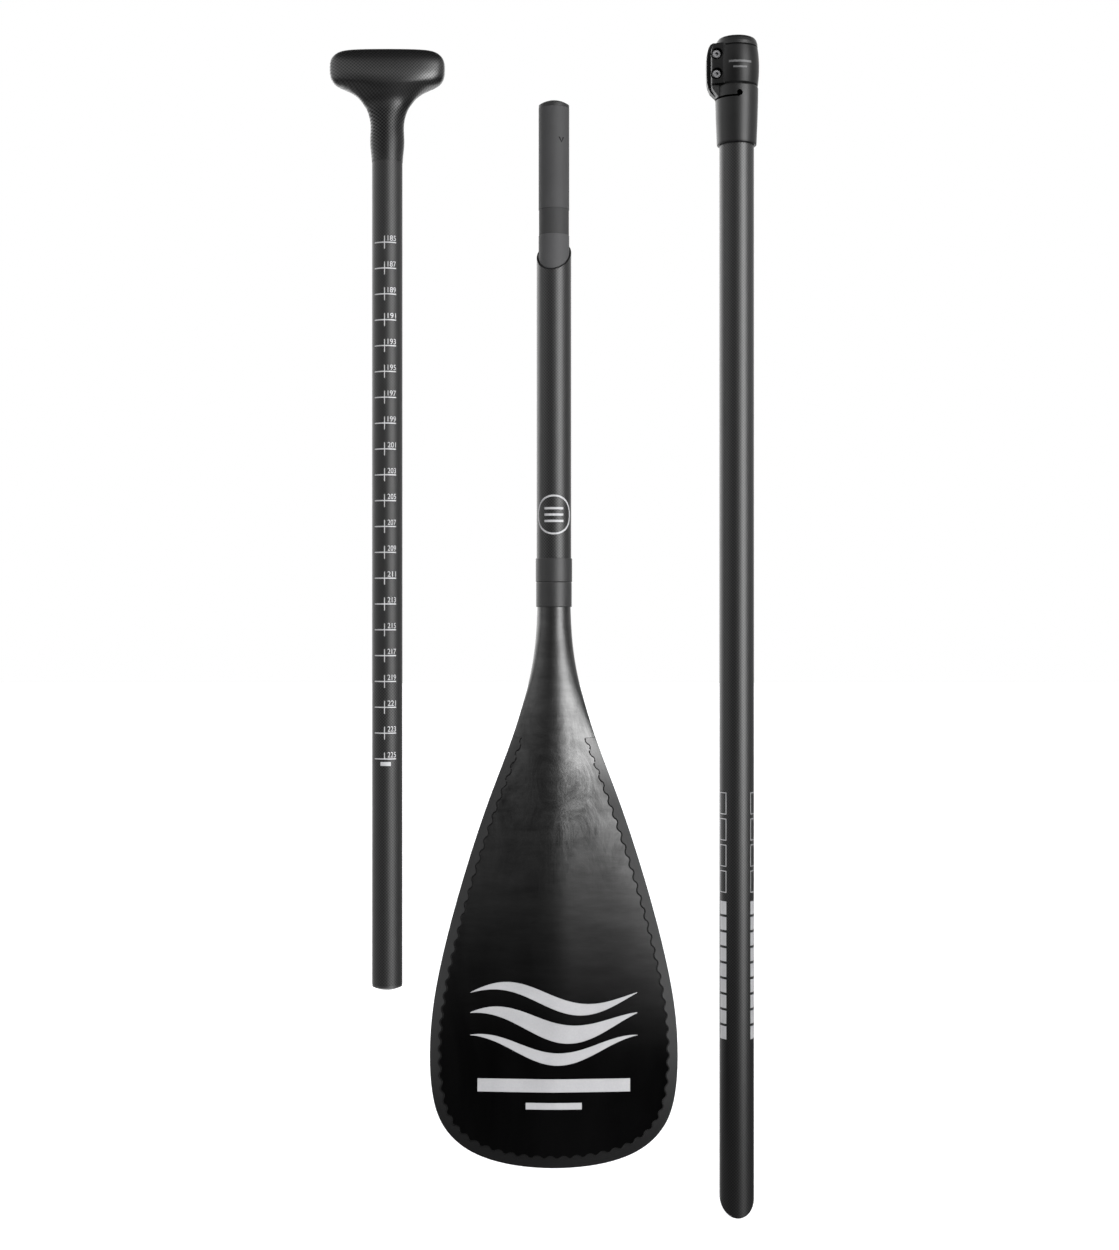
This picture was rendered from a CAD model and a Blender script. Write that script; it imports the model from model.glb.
import math

import bmesh
import bpy
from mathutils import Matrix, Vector
from mathutils.bvhtree import BVHTree


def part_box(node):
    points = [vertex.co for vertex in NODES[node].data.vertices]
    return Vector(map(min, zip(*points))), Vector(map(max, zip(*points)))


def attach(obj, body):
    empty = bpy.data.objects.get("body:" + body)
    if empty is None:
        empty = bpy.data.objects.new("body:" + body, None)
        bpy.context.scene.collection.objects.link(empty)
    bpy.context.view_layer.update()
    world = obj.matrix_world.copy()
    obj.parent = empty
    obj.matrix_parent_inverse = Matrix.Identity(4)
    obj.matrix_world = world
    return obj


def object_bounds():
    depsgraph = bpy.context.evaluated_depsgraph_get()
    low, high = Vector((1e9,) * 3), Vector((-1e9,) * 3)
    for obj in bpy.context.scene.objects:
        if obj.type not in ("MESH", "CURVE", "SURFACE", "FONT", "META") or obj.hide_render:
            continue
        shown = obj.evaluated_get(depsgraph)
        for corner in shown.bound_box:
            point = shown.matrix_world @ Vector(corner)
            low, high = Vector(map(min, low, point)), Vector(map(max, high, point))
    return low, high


for name in ("Cube", "Light", "Camera"):
    if name in bpy.data.objects:
        bpy.data.objects.remove(bpy.data.objects[name])

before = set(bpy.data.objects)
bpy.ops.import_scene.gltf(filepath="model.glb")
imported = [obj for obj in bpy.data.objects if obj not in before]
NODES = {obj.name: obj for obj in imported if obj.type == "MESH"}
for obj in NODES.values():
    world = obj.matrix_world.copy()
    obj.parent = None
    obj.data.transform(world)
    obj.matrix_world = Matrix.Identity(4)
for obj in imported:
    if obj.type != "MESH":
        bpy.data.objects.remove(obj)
cad_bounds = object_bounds()
MM = 0.001


def centre_x(node):
    low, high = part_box(node)
    return (low[0] + high[0]) / 2


def outer_radius(node):
    low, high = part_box(node)
    return (high[0] - low[0]) / 2


HANDLE_X = centre_x("upper_shaft")
UPPER_R = outer_radius("upper_shaft")
BLADE_X = centre_x("lower_shaft")
MAIN_R = outer_radius("lower_shaft")
MIDDLE_X = centre_x("middle_shaft")
FERRULE_R = outer_radius("ferrule")
GRIP_TOP_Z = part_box("grip_shell")[1][2]
GRIP_NECK_TOP = GRIP_TOP_Z - 52 * MM
GRIP_BULGE = GRIP_TOP_Z - 40 * MM


# Node graphs

class Graph:
    """A Principled material with object coordinates and short calls for its nodes."""

    def __init__(self, name, world=None):
        self.material = world or bpy.data.materials.new(name)
        self.material.use_nodes = True
        self.tree = self.material.node_tree
        self.tree.nodes.clear()
        ends = ("ShaderNodeOutputWorld", "ShaderNodeBackground") if world else (
            "ShaderNodeOutputMaterial", "ShaderNodeBsdfPrincipled")
        self.out, self.shader = (self.tree.nodes.new(kind) for kind in ends)
        self.tree.links.new(self.shader.outputs[0], self.out.inputs[0])
        coords = self.tree.nodes.new("ShaderNodeTexCoord")
        self.place = coords.outputs["Generated" if world else "Object"]
        self.x, self.y, self.z = self.node("ShaderNodeSeparateXYZ", Vector=self.place).outputs

    def put(self, socket, value):
        if isinstance(value, bpy.types.NodeSocket):
            self.tree.links.new(value, socket)
        else:
            socket.default_value = value

    def node(self, kind, settings=None, **inputs):
        made = self.tree.nodes.new(kind)
        for key, value in (settings or {}).items():
            setattr(made, key, value)
        for key, value in inputs.items():
            self.put(made.inputs[key.replace("_", " ")], value)
        return made

    def math(self, operation, *values):
        made = self.node("ShaderNodeMath", {"operation": operation})
        for socket, value in zip(made.inputs, values):
            self.put(socket, value)
        return made.outputs[0]

    def add(self, a, b):
        return self.math("ADD", a, b)

    def mul(self, a, b):
        return self.math("MULTIPLY", a, b)

    def lerp(self, low, high, share):
        """low + (high - low) * share for plain numbers low and high."""
        return self.add(self.mul(share, high - low), low)

    def ramp(self, share, *stops):
        made = self.node("ShaderNodeValToRGB", Fac=share)
        elements = made.color_ramp.elements
        while len(elements) < len(stops):
            elements.new(0.5)
        for element, (position, colour) in zip(elements, stops):
            element.position = position
            element.color = (*colour, 1)
        return made.outputs[0]

    def grey(self, share, *stops):
        return self.ramp(share, *[(p, (v, v, v * 1.03)) for p, v in stops])

    def noise(self, scale, detail=3.0, rough=0.5, stretch=(1, 1, 1), distortion=0.0):
        where = self.node("ShaderNodeMapping", Vector=self.place, Scale=stretch).outputs[0]
        made = self.node("ShaderNodeTexNoise", Vector=where, Scale=scale, Detail=detail,
                         Roughness=rough, Distortion=distortion)
        return made.outputs["Fac"]

    def mix(self, share, a, b):
        made = self.node("ShaderNodeMix", {"data_type": "RGBA"})
        self.put(made.inputs["Factor"], share)
        self.put(made.inputs[6], a)
        self.put(made.inputs[7], b)
        return made.outputs[2]

    def between(self, value, low, high, soft):
        """1 where low < value < high, with soft edges."""
        rise = self.node("ShaderNodeMapRange", Value=value, From_Min=low - soft,
                         From_Max=low + soft)
        fall = self.node("ShaderNodeMapRange", Value=value, From_Min=high - soft,
                         From_Max=high + soft, To_Min=1.0, To_Max=0.0)
        return self.mul(rise.outputs[0], fall.outputs[0])

    def fade(self, value, start, end, low=0.0, high=1.0):
        """Smooth step from low at start to high at end."""
        made = self.node("ShaderNodeMapRange", {"interpolation_type": "SMOOTHSTEP"}, Value=value,
                         From_Min=start, From_Max=end, To_Min=low, To_Max=high)
        return made.outputs[0]

    def bump(self, height, distance, strength=1.0):
        made = self.node("ShaderNodeBump", Height=height, Distance=distance, Strength=strength)
        return made.outputs[0]

    def rounded(self, radius, normal=None):
        made = self.node("ShaderNodeBevel", {"samples": 6}, Radius=radius)
        if normal is not None:
            self.put(made.inputs["Normal"], normal)
        return made.outputs[0]

    def finish(self, colour, roughness, normal=None, **more):
        self.put(self.shader.inputs["Base Color"], colour)
        self.put(self.shader.inputs["Roughness"], roughness)
        if normal is not None:
            self.put(self.shader.inputs["Normal"], normal)
        for key, value in more.items():
            self.put(self.shader.inputs[key.replace("_", " ")], value)
        return self.material


def weave(g, u, v, pitch):
    """Plain weave: (1 where the upright tow is on top, height of the rounded tows)."""
    a = g.mul(u, 1 / pitch)
    b = g.mul(v, 1 / pitch)
    over = g.math("FLOORED_MODULO", g.add(g.math("FLOOR", a), g.math("FLOOR", b)), 2.0)
    pillow_a = g.math("ABSOLUTE", g.math("SINE", g.mul(a, math.pi)))
    pillow_b = g.math("ABSOLUTE", g.math("SINE", g.mul(b, math.pi)))
    return over, g.math("SQRT", g.mul(pillow_a, pillow_b))


def around(g, axis_x, radius):
    """Distance round a tube's surface from its front line."""
    angle = g.math("ARCTAN2", g.math("SUBTRACT", g.x, axis_x), g.mul(g.y, -1.0))
    return g.mul(angle, radius)


TOW = 1.25 * MM
GRIP_TOW = 1.4 * MM
NOWHERE = (9.0, 9.0)              # a level far above the whole object

# Stretches of height where a look changes
TUBE_FOOT = (-0.02, 0.36)
FERRULE_BAND = (0.7775, 0.7985)
BLADE_SHOULDER = (0.275, 0.385)
SHOULDER_SOFT = 35 * MM
BLADE_GLOSS_RISE = (0.11, 0.39)
GUARD_TIP = (0.045, 0.17)
GUARD_RUN_OUT = 60 * MM
GRIP_FOOT = 26 * MM

PASTE_BLACK = (0.0008, 0.0008, 0.0008, 1)
GUARD_TIP_GREY = (0.0036, 0.0036, 0.0038, 1)
GUARD_END_BLACK = (0.0022, 0.0022, 0.0023, 1)


def carbon_tube(name, axis_x, radius, rough=0.40, gloss=1.0, foot_gloss=1.0, hidden=NOWHERE):
    """Woven tube, its shine scaled by gloss and, towards the frame's origin, by foot_gloss.

    hidden is the stretch of height where black bonding paste covers the tube.
    """
    g = Graph(name)
    over, pillow = weave(g, around(g, axis_x, radius), g.z, TOW)
    cloud = g.noise(14.0, 4.0, stretch=(1, 1, 0.25))
    share = g.add(g.mul(over, 0.6), g.mul(cloud, 0.4))
    colour = g.grey(share, (0.0, 0.002), (1.0, 0.008))
    roughness = g.add(g.lerp(rough + 0.06, rough - 0.03, over), g.mul(cloud, 0.06))
    normal = g.bump(pillow, 0.05 * MM, 0.45)
    bare = g.add(g.mul(g.between(g.z, *hidden, 0.1 * MM), -1.0), 1.0)
    foot = g.fade(g.z, *TUBE_FOOT, foot_gloss, gloss)
    shine = g.mul(g.mul(g.lerp(0.36, 0.52, over), foot), bare)
    return g.finish(g.mix(bare, PASTE_BLACK, colour), roughness, normal, Specular_IOR_Level=shine)


def carbon_grip():
    """Coarser weave on the grip, dull round its neck and like the shaft at its lower end."""
    g = Graph("carbon_grip")
    facing_up = g.node("ShaderNodeSeparateXYZ",
                       Vector=g.node("ShaderNodeNewGeometry").outputs["Normal"]).outputs[2]
    flat = g.math("GREATER_THAN", facing_up, 0.75)
    upright = g.add(g.mul(flat, g.y), g.mul(g.add(g.mul(flat, -1.0), 1.0), g.z))
    side = g.add(g.x, g.mul(g.mul(g.add(g.mul(flat, -1.0), 1.0), g.y), 0.35))
    over, pillow = weave(g, side, upright, GRIP_TOW)
    cloud = g.noise(40.0, 3.0)
    share = g.add(g.mul(over, 0.7), g.mul(cloud, 0.3))
    colour = g.grey(share, (0.0, 0.002), (1.0, 0.009))
    crown = g.node("ShaderNodeMapRange", Value=g.z, From_Min=GRIP_NECK_TOP, From_Max=GRIP_BULGE,
                   To_Min=0.0, To_Max=1.0).outputs[0]
    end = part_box("grip_shell")[0][2]
    foot = g.fade(g.z, end, end + GRIP_FOOT, 1.0, 0.0)
    rough = g.add(g.lerp(0.46, 0.36, crown), g.mul(over, -0.06))
    shine = g.add(g.add(g.lerp(0.06, 0.32, crown), g.mul(foot, 0.18)),
                  g.mul(over, g.lerp(0.24, 0.14, foot)))
    normal = g.bump(pillow, 0.05 * MM, 0.4)
    return g.finish(colour, rough, normal, Specular_IOR_Level=shine)


def blade_laminate():
    """Laminate that is glossy and smudged at the shoulder and near black towards the tip."""
    g = Graph("blade_laminate")
    streaks = g.noise(9.0, 5.0, 0.6, stretch=(2.2, 1, 0.8), distortion=0.6)
    smudges = g.noise(24.0, 7.0, 0.72, stretch=(1.3, 1, 0.8), distortion=2.4)
    scuffs = g.noise(60.0, 6.0, 0.7, stretch=(0.35, 1, 1.6))
    shoulder = g.between(g.z, *BLADE_SHOULDER, SHOULDER_SOFT)
    colour = g.grey(streaks, (0.2, 0.0006), (0.9, 0.0030))
    pillow = weave(g, g.x, g.z, TOW)[1]
    height = g.add(g.add(g.mul(pillow, 0.10), g.mul(g.mul(smudges, shoulder), 3.0)), scuffs)
    normal = g.bump(height, 0.16 * MM, 0.6)
    rise = g.fade(g.z, *BLADE_GLOSS_RISE, 0.0, 0.62)
    patchy = g.add(g.mul(g.mul(g.add(smudges, -0.5), shoulder), 2.6),
                   g.mul(g.add(scuffs, -0.5), 1.1))
    shine = g.mul(rise, g.math("MAXIMUM", g.add(patchy, 1.0), 0.25))
    rough = g.add(g.add(g.mul(streaks, 0.20), 0.27), g.mul(g.mul(smudges, shoulder), -0.10))
    return g.finish(colour, rough, normal, Specular_IOR_Level=shine)


def edge_rubber():
    """Matte guard, darker round the tip, black where it runs out at the shoulder."""
    g = Graph("edge_rubber")
    grain = g.noise(1500.0, 2.0)
    cloud = g.noise(22.0, 4.0)
    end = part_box("blade_edge_guard")[1][2]
    fade = g.fade(g.z, end - GUARD_RUN_OUT, end)
    rise = g.fade(g.z, *GUARD_TIP)
    grey = g.mix(rise, GUARD_TIP_GREY, g.grey(cloud, (0.2, 0.010), (0.85, 0.018)))
    colour = g.mix(fade, grey, GUARD_END_BLACK)
    normal = g.bump(g.add(grain, g.mul(g.noise(260.0, 3.0), 0.8)), 0.06 * MM, 0.6)
    rough = g.add(g.lerp(0.52, 0.68, grain), g.mul(fade, -0.24))
    shine = g.add(g.lerp(0.09, 0.30, rise), g.mul(fade, 0.30))
    return g.finish(colour, rough, g.rounded(0.5 * MM, normal), Specular_IOR_Level=shine)


def ferrule_grey():
    """Grey moulding: darker along its recessed band, a little lighter below the band."""
    g = Graph("ferrule_grey")
    fibre = g.noise(420.0, 4.0, 0.6, stretch=(1, 1, 0.35))
    cloud = g.noise(30.0, 3.0)
    band = g.between(g.z, *FERRULE_BAND, 0.4 * MM)
    lower = g.between(g.z, 0.0, FERRULE_BAND[0], 0.4 * MM)
    share = g.add(g.mul(fibre, 0.5), g.mul(cloud, 0.5))
    plain = g.grey(share, (0.2, 0.027), (0.85, 0.042))
    light = g.grey(share, (0.2, 0.038), (0.85, 0.058))
    dark = g.grey(share, (0.2, 0.019), (0.85, 0.029))
    colour = g.mix(band, g.mix(lower, plain, light), dark)
    normal = g.bump(fibre, 0.04 * MM, 0.5)
    return g.finish(colour, g.lerp(0.62, 0.78, fibre), normal, Specular_IOR_Level=0.35)


def moulded(name, low, high, rough, shine=0.5, edge=0.5 * MM):
    """Moulded plastic between two dark tones, its edges rounded by edge."""
    g = Graph(name)
    grain = g.noise(1100.0, 2.0)
    cloud = g.noise(60.0, 3.0)
    colour = g.grey(cloud, (0.2, low), (0.85, high))
    normal = g.bump(grain, 0.03 * MM, 0.5)
    return g.finish(colour, g.lerp(rough, rough + 0.12, cloud), g.rounded(edge, normal),
                    Specular_IOR_Level=shine)


def shrink_sleeve():
    """Heat-shrunk sleeve with faint rings."""
    g = Graph("shrink_sleeve")
    rings = g.node("ShaderNodeTexWave", {"bands_direction": "Z"}, Vector=g.place, Scale=150.0,
                   Distortion=2.5, Detail=2.0).outputs["Fac"]
    cloud = g.noise(35.0, 3.0)
    colour = g.grey(cloud, (0.2, 0.008), (0.85, 0.018))
    normal = g.bump(g.add(rings, g.mul(g.noise(500.0), 0.4)), 0.04 * MM, 0.4)
    return g.finish(colour, g.lerp(0.44, 0.54, cloud), g.rounded(0.3 * MM, normal),
                    Specular_IOR_Level=0.42)


def steel(name, rough, low, high):
    """Brushed metal between two tones."""
    g = Graph(name)
    brush = g.noise(2600.0, 2.0, stretch=(1, 0.2, 1))
    cloud = g.noise(160.0, 3.0)
    colour = g.grey(cloud, (0.2, low), (0.85, high))
    normal = g.bump(brush, 0.02 * MM, 0.4)
    return g.finish(colour, g.lerp(rough, rough + 0.16, brush), g.rounded(0.25 * MM, normal),
                    Metallic=1.0)


def foam():
    """Pale closed-cell foam."""
    g = Graph("closed_cell_foam")
    cells = g.node("ShaderNodeTexVoronoi", Vector=g.place, Scale=900.0).outputs["Distance"]
    colour = g.ramp(cells, (0.0, (0.72, 0.68, 0.56)), (0.8, (0.86, 0.83, 0.72)))
    return g.finish(colour, 0.9, g.bump(cells, 0.2 * MM, 0.6))


def print_ink(name, low, high, shine=0.5):
    """Slightly worn ink between two tones."""
    g = Graph(name)
    wear = g.noise(700.0, 4.0, 0.7)
    cloud = g.noise(50.0, 2.0)
    colour = g.grey(g.add(g.mul(wear, 0.5), g.mul(cloud, 0.5)), (0.25, low), (0.7, high))
    normal = g.bump(wear, 0.01 * MM, 0.4)
    return g.finish(colour, g.lerp(0.45, 0.6, wear), normal, Specular_IOR_Level=shine)


def paint(material, *names):
    """Puts one material on every slot of the named CAD nodes."""
    for name in names:
        slots = NODES[name].material_slots
        if not slots:
            NODES[name].data.materials.append(material)
        for slot in slots:
            slot.link = "OBJECT"
            slot.material = material


collar_low, collar_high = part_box("clamp_collar")
paint(carbon_tube("carbon_middle_shaft", MIDDLE_X, MAIN_R, 0.36, 1.0, 0.46,
                  hidden=(collar_low[2] + 2 * MM, collar_high[2])), "middle_shaft")
paint(carbon_tube("carbon_lower_shaft", BLADE_X, MAIN_R), "lower_shaft")
paint(carbon_tube("carbon_upper_shaft", HANDLE_X, UPPER_R, 0.47, 0.94, 0.94), "upper_shaft")
paint(carbon_grip(), "grip_shell")
paint(blade_laminate(), "blade_shell")
paint(edge_rubber(), "blade_edge_guard")
paint(ferrule_grey(), "ferrule")
paint(moulded("plug_black", 0.010, 0.018, 0.42), "upper_shaft_end_plug")
paint(moulded("cap_black", 0.008, 0.014, 0.5, 0.3), "ferrule_end_cap")
paint(moulded("clamp_black", 0.003, 0.006, 0.36, 0.28, 0.15 * MM), "clamp_collar")
paint(moulded("band_black", 0.002, 0.005, 0.34, 0.20), "clamp_band")
paint(moulded("lever_black", 0.003, 0.007, 0.34, 0.28), "clamp_lever")
paint(shrink_sleeve(), "neck_sleeve")
paint(steel("stainless", 0.30, 0.30, 0.44), "lever_barrel_nut", "cam_wear_plate", "snap_button")
paint(steel("screw_steel", 0.46, 0.11, 0.19), "clamp_screws")
paint(steel("spring_steel", 0.32, 0.32, 0.48), "button_leaf_spring")
paint(foam(), "blade_foam_core", "grip_foam_core", "shaft_foam_plug")


# Printed marks: thin closed films laid on the surfaces

INK_LIFT = 0.03 * MM
INK_THICK = 0.05 * MM
SLICE_ROUND = 1.0 * MM            # how finely a film is cut to follow a tube, and along it
SLICE_ALONG = 4.0 * MM
MERGE = 0.001 * MM


def tube_wrap(axis_x, radius, z0, turn=0.0):
    """Maps flat (u, v) onto a tube, u to the right of the line at angle turn from the front."""
    def place(u, v):
        angle = math.radians(turn) + u / radius
        r = radius + INK_LIFT
        return Vector((axis_x + r * math.sin(angle), -r * math.cos(angle), z0 + v))
    return place


def drape(node, x0, z0):
    """Maps flat (u, v) onto the front of a CAD node, straight along +Y."""
    shape = bmesh.new()
    shape.from_mesh(NODES[node].data)
    tree = BVHTree.FromBMesh(shape)
    shape.free()

    def place(u, v):
        hit = tree.ray_cast(Vector((x0 + u, -0.5, z0 + v)), Vector((0, 1, 0)))[0]
        return hit - Vector((0, 2 * INK_LIFT, 0))
    return place


def flat_mesh(polygons):
    """Flat bmesh from lists of (u, v) corners."""
    shape = bmesh.new()
    for points in polygons:
        shape.faces.new([shape.verts.new((u, v, 0)) for u, v in points])
    return shape


def slice_grid(shape, step_u, step_v):
    """Cuts a flat bmesh along both axes so that it can bend."""
    for axis, step in ((0, step_u), (1, step_v)):
        values = [v.co[axis] for v in shape.verts]
        line = math.floor(min(values) / step) + 1
        while line * step < max(values):
            point = [0, 0, 0]
            normal = [0, 0, 0]
            point[axis] = line * step
            normal[axis] = 1
            everything = shape.verts[:] + shape.edges[:] + shape.faces[:]
            bmesh.ops.bisect_plane(shape, geom=everything, plane_co=point, plane_no=normal)
            line += 1


def printed(name, shape, place, body, material, step_u=SLICE_ROUND, step_v=SLICE_ALONG):
    """Closed film from a flat bmesh: sliced, mapped by place, then thickened outward."""
    bmesh.ops.remove_doubles(shape, verts=shape.verts, dist=MERGE)
    slice_grid(shape, step_u, step_v)
    bmesh.ops.triangulate(shape, faces=shape.faces)
    shape.normal_update()
    bmesh.ops.reverse_faces(shape, faces=[f for f in shape.faces if f.normal.z < 0])
    for vertex in shape.verts:
        vertex.co = place(vertex.co.x, vertex.co.y)
    film_piece(name, shape, body, material)


def film_piece(name, shape, body, material):
    """Object from an open bmesh, thickened outward into a closed film."""
    mesh = bpy.data.meshes.new(name)
    shape.to_mesh(mesh)
    shape.free()
    piece = bpy.data.objects.new(name, mesh)
    bpy.context.scene.collection.objects.link(piece)
    film = piece.modifiers.new("film", "SOLIDIFY")
    film.thickness = INK_THICK
    film.offset = 1.0
    mesh.materials.append(material)
    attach(piece, body)


def text_shape(words, width, height):
    """Flat bmesh of generic figures, scaled to width and height, lower left corner at 0, 0."""
    curve = bpy.data.curves.new("figures", "FONT")
    curve.body = words
    holder = bpy.data.objects.new("figures", curve)
    bpy.context.scene.collection.objects.link(holder)
    bpy.context.view_layer.update()
    graph = bpy.context.evaluated_depsgraph_get()
    mesh = bpy.data.meshes.new_from_object(holder.evaluated_get(graph))
    bpy.data.objects.remove(holder)
    shape = bmesh.new()
    shape.from_mesh(mesh)
    bpy.data.meshes.remove(mesh)
    us = [v.co.x for v in shape.verts]
    vs = [v.co.y for v in shape.verts]
    for vertex in shape.verts:
        vertex.co.x = (vertex.co.x - min(us)) / (max(us) - min(us)) * width
        vertex.co.y = (vertex.co.y - min(vs)) / (max(vs) - min(vs)) * height
    return shape


def bar(u0, u1, v0, v1):
    """Corners of a flat rectangle."""
    return [(u0, v0), (u1, v0), (u1, v1), (u0, v1)]


def joined(shapes):
    """One bmesh from several (bmesh, shift) pairs."""
    whole = bmesh.new()
    for shape, (du, dv) in shapes:
        lookup = {}
        for vertex in shape.verts:
            lookup[vertex] = whole.verts.new((vertex.co.x + du, vertex.co.y + dv, 0))
        for face in shape.faces:
            whole.faces.new([lookup[v] for v in face.verts])
        shape.free()
    return whole


INK_GREY = print_ink("ink_grey", 0.28, 0.42)
INK_WHITE = print_ink("ink_white", 0.27, 0.34)
INK_SIDE = print_ink("ink_side", 0.44, 0.58)
INK_SOFT = print_ink("ink_soft", 0.20, 0.28)
INK_DARK = print_ink("ink_dark", 0.002, 0.006, 0.12)
INK_FAINT = print_ink("ink_faint", 0.05, 0.09)

# The length scale on the upper shaft
FIRST_MARK_Z = 0.7702
MARK_STEP = 20.77 * MM
MARKS = 21
FIRST_LENGTH = 185
LINE_ENDS = (-10.6 * MM, 8.6 * MM)
LINE_HALF = 0.45 * MM
STEM_SIDES = (-1.45 * MM, -0.75 * MM)
STEM_REACH = 5.2 * MM
FIGURE_SIZE = (7.0 * MM, 4.3 * MM)
FIGURE_CORNER = (1.4 * MM, 1.2 * MM)
STOP_SIDES = (-4.5 * MM, 4.0 * MM)
STOP_LEVELS = (-5.6 * MM, -2.4 * MM)
marks = []
for k in range(MARKS):
    level = -k * MARK_STEP
    bars = [bar(*LINE_ENDS, -LINE_HALF, LINE_HALF), bar(*STEM_SIDES, LINE_HALF, STEM_REACH)]
    if k < MARKS - 1:
        bars.append(bar(*STEM_SIDES, -STEM_REACH, -LINE_HALF))
    lines = flat_mesh(bars)
    figures = text_shape(str(FIRST_LENGTH + 2 * k), *FIGURE_SIZE)
    marks.append((lines, (0.0, level)))
    marks.append((figures, (FIGURE_CORNER[0], level + FIGURE_CORNER[1])))
stop = flat_mesh([bar(*STOP_SIDES, *STOP_LEVELS)])
marks.append((stop, (0.0, -(MARKS - 1) * MARK_STEP)))
printed("length_scale", joined(marks), tube_wrap(HANDLE_X, UPPER_R, FIRST_MARK_Z),
        "handle_section", INK_GREY)


# Dark arrow on the ferrule: a small open chevron that points down

ARROW_TURN = 29.0
ARROW_Z = 0.8505


def chevron(half, rise, stroke):
    """Two strokes that meet in a point at 0, 0."""
    return flat_mesh([
        [(-half, rise), (-half + stroke, rise), (stroke * 0.1, stroke), (0.0, 0.0)],
        [(0.0, 0.0), (stroke * 0.1, stroke), (half - stroke, rise), (half, rise)],
    ])


printed("ferrule_arrow", chevron(2.6 * MM, 4.6 * MM, 1.4 * MM),
        tube_wrap(BLADE_X, FERRULE_R, ARROW_Z, ARROW_TURN), "blade_section", INK_DARK)


# Round label on the lower shaft: a plain ring with three bars

def ring(outer, inner, count=48):
    """Flat ring of quads about 0, 0."""
    quads = []
    for k in range(count):
        a = 2 * math.pi * k / count
        b = 2 * math.pi * (k + 1) / count
        quads.append([
            (outer * math.cos(a), outer * math.sin(a)), (outer * math.cos(b), outer * math.sin(b)),
            (inner * math.cos(b), inner * math.sin(b)), (inner * math.cos(a), inner * math.sin(a)),
        ])
    return flat_mesh(quads)


LABEL_Z = 0.5512
LABEL_OUTER = 16 * MM
LABEL_INNER = 14.6 * MM
LABEL_BAR_HALF = 8 * MM
LABEL_BAR_LEVELS = (-6.0, -0.9, 4.2)
LABEL_BAR_HEIGHT = 1.8
label_bars = flat_mesh([
    bar(-LABEL_BAR_HALF, LABEL_BAR_HALF, v * MM, (v + LABEL_BAR_HEIGHT) * MM)
    for v in LABEL_BAR_LEVELS
])
printed("round_label", joined([(ring(LABEL_OUTER, LABEL_INNER), (0, 0)), (label_bars, (0, 0))]),
        tube_wrap(BLADE_X, MAIN_R, LABEL_Z), "blade_section", INK_GREY)


# Plain dashes up both sides of the middle shaft: open frames above, solid blocks below

def frame_outline(u0, u1, v0, v1, stroke):
    """Four bars round an open rectangle."""
    return [
        bar(u0, u1, v0, v0 + stroke), bar(u0, u1, v1 - stroke, v1),
        bar(u0, u0 + stroke, v0 + stroke, v1 - stroke),
        bar(u1 - stroke, u1, v0 + stroke, v1 - stroke),
    ]


DASH_HALF = 4.0 * MM
DASH_SHARE = 0.84                 # of each step, the rest is the gap
FRAME_STROKE = 0.6 * MM
FRAMES = (0.247, 0.331, 4)        # from level, to level, how many
BLOCKS = (0.129, 0.242, 9)
DASH_SIDES = (("left", -58.0, INK_SIDE), ("right", 63.0, INK_SOFT))
for side, turn, ink in DASH_SIDES:
    dashes = []
    for (low, high, count), solid in ((FRAMES, False), (BLOCKS, True)):
        step = (high - low) / count
        for k in range(count):
            v0 = low + k * step
            v1 = v0 + DASH_SHARE * step
            if solid:
                dashes.append(bar(-DASH_HALF, DASH_HALF, v0, v1))
            else:
                dashes += frame_outline(-DASH_HALF, DASH_HALF, v0, v1, FRAME_STROKE)
    printed("dashes_" + side, flat_mesh(dashes), tube_wrap(MIDDLE_X, MAIN_R, 0.0, turn),
            "middle_section", ink)


# Blade graphic: three flowing stripes over two plain bars

STRIPE_HALF_LENGTH = 66 * MM
STRIPE_SWING = 9 * MM
STRIPE_STEPS = 44
STRIPES = ((38 * MM, 10 * MM, 0.4), (19 * MM, 14 * MM, 0.9), (0.0, 9 * MM, 1.4))
GRAPHIC_BARS = ((60 * MM, -34 * MM, -24 * MM), (22 * MM, -47 * MM, -42 * MM))
GRAPHIC_Z = 0.130
GRAPHIC_SLICES = (4.0 * MM, 6.0 * MM)


def wave_stripe(v_mid, thick, phase):
    """Tapering stripe that rises and falls once along its length."""
    quads = []
    edge = []
    for k in range(STRIPE_STEPS + 1):
        share = k / STRIPE_STEPS
        u = STRIPE_HALF_LENGTH * (2 * share - 1)
        mid = v_mid + STRIPE_SWING * math.sin(2 * math.pi * share + phase)
        half = 0.5 * thick * (math.sin(math.pi * share) + 0.04)
        edge.append((u, mid - half, mid + half))
    for (u0, low0, high0), (u1, low1, high1) in zip(edge, edge[1:]):
        quads.append([(u0, low0), (u1, low1), (u1, high1), (u0, high0)])
    return quads


stripes = []
for level, thick, phase in STRIPES:
    stripes += wave_stripe(level, thick, phase)
for half, low, high in GRAPHIC_BARS:
    stripes.append(bar(-half, half, low, high))
printed("blade_stripes", flat_mesh(stripes), drape("blade_shell", BLADE_X, GRAPHIC_Z),
        "blade_section", INK_WHITE, *GRAPHIC_SLICES)


# Dark bead of resin in the corner between the edge guard and the panel

BEAD_WIDTH = 0.9 * MM
BEAD_LAP = 0.2 * MM               # onto the guard's own face
BEAD_DROP = 0.26 * MM             # from the guard's face down towards the panel
BEAD_MERGE = 0.01 * MM
FACE_Y = 0.8                      # how far a face's or a wall's normal turns along y
WALL_Y = 0.35


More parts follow.
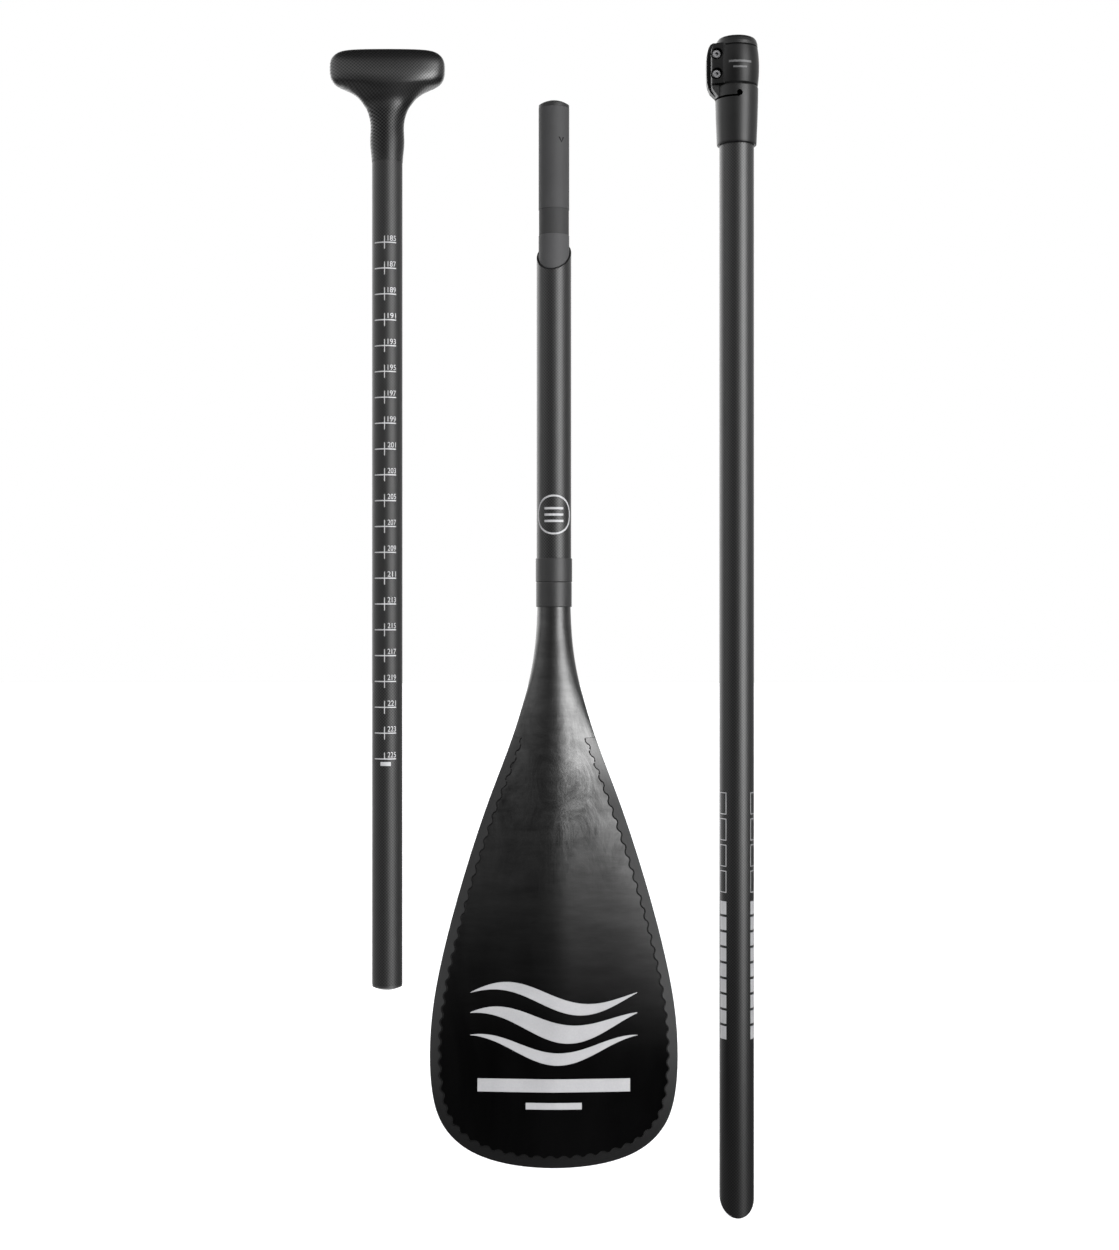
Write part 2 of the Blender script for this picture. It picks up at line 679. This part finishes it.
def guard_seam(material):
    """Ribbon along every edge where a guard face meets the wall that looks in at the panel."""
    source = bmesh.new()
    source.from_mesh(NODES["blade_edge_guard"].data)
    bmesh.ops.remove_doubles(source, verts=source.verts, dist=MERGE)
    source.normal_update()
    low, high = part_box("blade_edge_guard")
    middle = Vector((BLADE_X, 0, (low[2] + high[2]) / 2))
    inward = {}
    runs = []
    for edge in source.edges:
        if len(edge.link_faces) != 2:
            continue
        wall, face = sorted(edge.link_faces, key=lambda f: abs(f.normal.y))
        to_middle = middle - edge.verts[0].co
        if abs(face.normal.y) < FACE_Y or abs(wall.normal.y) > WALL_Y:
            continue
        if wall.normal.dot(to_middle) < 0:
            continue
        outward = Vector((0, math.copysign(1, face.normal.y), 0))
        for vertex in edge.verts:
            across = Vector((wall.normal.x, 0, wall.normal.z))
            inward[vertex] = inward.get(vertex, Vector()) + across
        runs.append((edge.verts[0], edge.verts[1], outward))
    bead = bmesh.new()
    for a, b, outward in runs:
        corners = []
        for vertex in (a, b):
            across = inward[vertex].normalized()
            corners.append(vertex.co - across * BEAD_LAP + outward * INK_LIFT)
            corners.append(vertex.co + across * BEAD_WIDTH - outward * BEAD_DROP)
        made = bead.faces.new([bead.verts.new(corners[k]) for k in (0, 1, 3, 2)])
        made.normal_update()
        if made.normal.dot(outward) < 0:
            made.normal_flip()
    source.free()
    bmesh.ops.remove_doubles(bead, verts=bead.verts, dist=BEAD_MERGE)
    film_piece("guard_seam", bead, "blade_section", material)


guard_seam(moulded("seam_black", 0.0015, 0.003, 0.45, 0.12))


# Small plain mark on the clamp band: two short bars

MARK_BARS = ((9 * MM, 0.0, 1.7 * MM), (5.5 * MM, -4.4 * MM, -3.0 * MM))
MARK_X = MIDDLE_X + 1.2 * MM
MARK_Z = 0.9135
mark_bars = flat_mesh([bar(-half, half, low, high) for half, low, high in MARK_BARS])
printed("clamp_mark", mark_bars, drape("clamp_band", MARK_X, MARK_Z), "middle_section", INK_FAINT)


# Stage, light and camera

FLOOR_SIZE = 14.0
FLOOR_GAP = 0.5 * MM


def pale_floor():
    """Large pale floor under the object; only the camera sees it, so it mirrors in nothing."""
    shape = bmesh.new()
    bmesh.ops.create_grid(shape, x_segments=24, y_segments=24, size=FLOOR_SIZE)
    mesh = bpy.data.meshes.new("floor")
    shape.to_mesh(mesh)
    shape.free()
    floor = bpy.data.objects.new("floor", mesh)
    bpy.context.scene.collection.objects.link(floor)
    floor.location.z = cad_bounds[0][2] - FLOOR_GAP
    g = Graph("pale_floor")
    cloud = g.noise(1.5, 2.0)
    material = g.finish(g.grey(cloud, (0.0, 0.80), (1.0, 0.84)), 0.9,
                        Emission_Color=(1, 1, 1, 1), Emission_Strength=0.55)
    clear = g.node("ShaderNodeBsdfTransparent")
    seen = g.node("ShaderNodeLightPath").outputs["Is Camera Ray"]
    both = g.node("ShaderNodeMixShader", Fac=seen)
    g.tree.links.new(clear.outputs[0], both.inputs[1])
    g.tree.links.new(g.shader.outputs[0], both.inputs[2])
    g.tree.links.new(both.outputs[0], g.out.inputs[0])
    floor.data.materials.append(material)


# The surroundings by direction, in degrees. Azimuth 0 is towards the camera, positive to the
# right. A range is (from, to, softness).
FRONT_HEIGHTS = (-1.0, 42.0, 9.0)
FRONT_LEVEL = 0.9
DARK_AZIMUTHS = (-30.0, 4.0, 8.0)
DARK_HEIGHTS = (-60.0, 26.0, 6.0)
DARK_LEFT_OVER = 0.12
BACK_AZIMUTHS = (150.0, 400.0, 8.0)    # on both sides
BACK_HEIGHTS = (-60.0, 30.0, 12.0)
BACK_LEVEL = 1.5
BELOW_HEIGHTS = (-90.0, -25.0, 8.0)
BELOW_LEVEL = 0.45
AMBIENT_LEVEL = 0.02
SOFT_BOXES = (                         # azimuths, heights, strength
    ((25.0, 57.0, 7.0), (-8.0, 26.0, 11.0), 15.0),       # key
    ((-55.0, 55.0, 14.0), (26.0, 46.0, 7.0), 0.8),       # top
    ((-150.0, -62.0, 16.0), (-12.0, 48.0, 9.0), 1.1),    # left
    ((84.0, 130.0, 10.0), (-12.0, 48.0, 9.0), 0.1),      # right
    ((-152.0, -122.0, 7.0), (-8.0, 34.0, 11.0), 1.6),    # rear key
)


def studio():
    """World light made of soft boxes; the camera sees plain white instead."""
    world = bpy.data.worlds.new("studio")
    g = Graph("studio", world)
    azimuth = g.mul(g.math("ARCTAN2", g.x, g.mul(g.y, -1.0)), 180 / math.pi)
    height = g.mul(g.math("ARCSINE", g.z), 180 / math.pi)
    aside = g.math("ABSOLUTE", azimuth)
    level = g.mul(g.between(height, *FRONT_HEIGHTS), FRONT_LEVEL)
    dark_spot = g.mul(g.between(azimuth, *DARK_AZIMUTHS), g.between(height, *DARK_HEIGHTS))
    level = g.mul(level, g.lerp(1.0, DARK_LEFT_OVER, dark_spot))
    for azimuths, heights, strength in SOFT_BOXES:
        box = g.mul(g.between(azimuth, *azimuths), g.between(height, *heights))
        level = g.add(level, g.mul(box, strength))
    back = g.mul(g.between(aside, *BACK_AZIMUTHS), g.between(height, *BACK_HEIGHTS))
    level = g.add(level, g.mul(back, BACK_LEVEL))
    level = g.add(level, g.mul(g.between(height, *BELOW_HEIGHTS), BELOW_LEVEL))
    level = g.add(level, AMBIENT_LEVEL)
    seen = g.node("ShaderNodeLightPath").outputs["Is Camera Ray"]
    strength = g.add(g.mul(seen, 1.0), g.mul(g.add(g.mul(seen, -1.0), 1.0), level))
    g.put(g.shader.inputs["Color"], (1, 1, 1, 1))
    g.put(g.shader.inputs["Strength"], strength)
    bpy.context.scene.world = world


pale_floor()
studio()

CENTRE = (-0.1435, 0.0, 0.4625)
CAMERA_DISTANCE = 1.54
FRAME_HEIGHT = 1.0125             # what the camera takes in at the object's distance
SENSOR_HEIGHT = 36.0
camera_data = bpy.data.cameras.new("camera")
camera_data.sensor_fit = "VERTICAL"
camera_data.sensor_height = SENSOR_HEIGHT
camera_data.lens = SENSOR_HEIGHT * CAMERA_DISTANCE / FRAME_HEIGHT
camera = bpy.data.objects.new("camera", camera_data)
bpy.context.scene.collection.objects.link(camera)
camera.location = (CENTRE[0], -CAMERA_DISTANCE, CENTRE[2])
camera.rotation_euler = (math.pi / 2, 0, 0)
bpy.context.scene.camera = camera
bpy.context.scene.view_settings.view_transform = "Standard"
